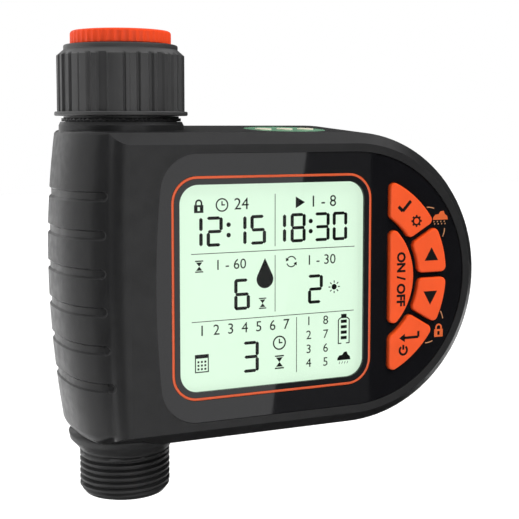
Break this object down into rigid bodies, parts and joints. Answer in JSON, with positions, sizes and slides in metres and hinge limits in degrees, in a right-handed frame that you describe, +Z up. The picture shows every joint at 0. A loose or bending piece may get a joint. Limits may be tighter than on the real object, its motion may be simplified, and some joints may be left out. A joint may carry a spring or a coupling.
{
  "type": "irrigation timer",
  "caption": "Electronic water timer for a garden tap: ribbed union nut, barrel grip round the pipe, flat housing with a half-round end, display, sector keys, battery tray and rain sensor.",
  "frame": {"origin": "centre of the inlet mouth, at the top of the orange reducer", "axes": "+Z up along the water pipe and out of the inlet, display faces -Y, +X towards the half-round end"},
  "size_m": [0.1304, 0.0513, 0.1345],
  "materials": {
    "shell": "satin moulded",
    "panel_gloss": "polished",
    "window_clear": "polished",
    "trim_orange": "polished",
    "lcd_glass": "polished",
    "white_plastic": "moulded",
    "board_green": "lacquered",
    "switch_metal": "stamped",
    "rubber_black": "moulded",
    "steel": "machined",
    "key_orange": "satin moulded",
    "reducer_orange": "satin moulded",
    "nut": "satin moulded",
    "filter_mesh": "woven",
    "pipe": "satin moulded",
    "coil": "wound",
    "tray": "satin moulded",
    "cells": "satin wrapped",
    "contacts": "plated",
    "sensor_board": "lacquered",
    "sensor_pads": "plated"
  },
  "bodies": {
    "housing": {"front_shell": "shell", "back_shell": "shell", "shell_gasket": "rubber_black", "housing_screws": "steel", "front_panel": "panel_gloss", "display_window": "window_clear", "display_trim": "trim_orange", "display_glass": "lcd_glass", "display_holder": "white_plastic", "display_reflector": "white_plastic", "main_board": "board_green", "button_switches": "switch_metal", "button_seal": "rubber_black", "board_screws": "steel", "retaining_ring": "steel", "inlet_washer": "rubber_black", "inlet_filter": "filter_mesh", "valve_body": "pipe", "pipe_seals": "rubber_black", "valve_diaphragm": "rubber_black", "valve_bonnet": "white_plastic", "bonnet_screws": "steel", "solenoid_coil": "coil", "solenoid_yoke": "steel", "bay_contacts": "contacts", "rain_sensor_board": "sensor_board", "rain_sensor_pads": "sensor_pads"},
    "nut": {"inlet_nut": "nut"},
    "reducer": {"thread_reducer": "reducer_orange"},
    "ok_key": {"button_ok": "key_orange"},
    "up_key": {"button_up": "key_orange"},
    "down_key": {"button_down": "key_orange"},
    "esc_key": {"button_esc": "key_orange"},
    "manual_key": {"button_manual": "key_orange"},
    "battery_drawer": {"battery_tray": "tray", "tray_seal": "rubber_black", "battery_cells": "cells", "tray_contacts": "contacts"},
    "plunger": {"solenoid_plunger": "steel"}
  },
  "joints": [
    {"name": "nut_spin", "type": "hinge", "parent": "housing", "child": "nut", "pos_m": [0, 0, -0.014], "axis": [0, 0, 1], "continuous": true},
    {"name": "reducer_unscrew", "type": "slide", "parent": "nut", "child": "reducer", "axis": [0, 0, 1], "range_m": [0, 0.013]},
    {"name": "ok_press", "type": "slide", "parent": "housing", "child": "ok_key", "axis": [0, 1, 0], "range_m": [0, 0.0008], "stiffness_N_per_m": 1500, "springref_m": -0.0003},
    {"name": "up_press", "type": "slide", "parent": "housing", "child": "up_key", "axis": [0, 1, 0], "range_m": [0, 0.0008], "stiffness_N_per_m": 1500, "springref_m": -0.0003},
    {"name": "down_press", "type": "slide", "parent": "housing", "child": "down_key", "axis": [0, 1, 0], "range_m": [0, 0.0008], "stiffness_N_per_m": 1500, "springref_m": -0.0003},
    {"name": "esc_press", "type": "slide", "parent": "housing", "child": "esc_key", "axis": [0, 1, 0], "range_m": [0, 0.0008], "stiffness_N_per_m": 1500, "springref_m": -0.0003},
    {"name": "manual_press", "type": "slide", "parent": "housing", "child": "manual_key", "axis": [0, 1, 0], "range_m": [0, 0.0008], "stiffness_N_per_m": 1500, "springref_m": -0.0003},
    {"name": "battery_slide", "type": "slide", "parent": "housing", "child": "battery_drawer", "axis": [0, 1, 0], "range_m": [0, 0.03]},
    {"name": "plunger_slide", "type": "slide", "parent": "housing", "child": "plunger", "axis": [1, 0, 0], "range_m": [0, 0.0016], "stiffness_N_per_m": 150, "springref_m": -0.0005}
  ]
}
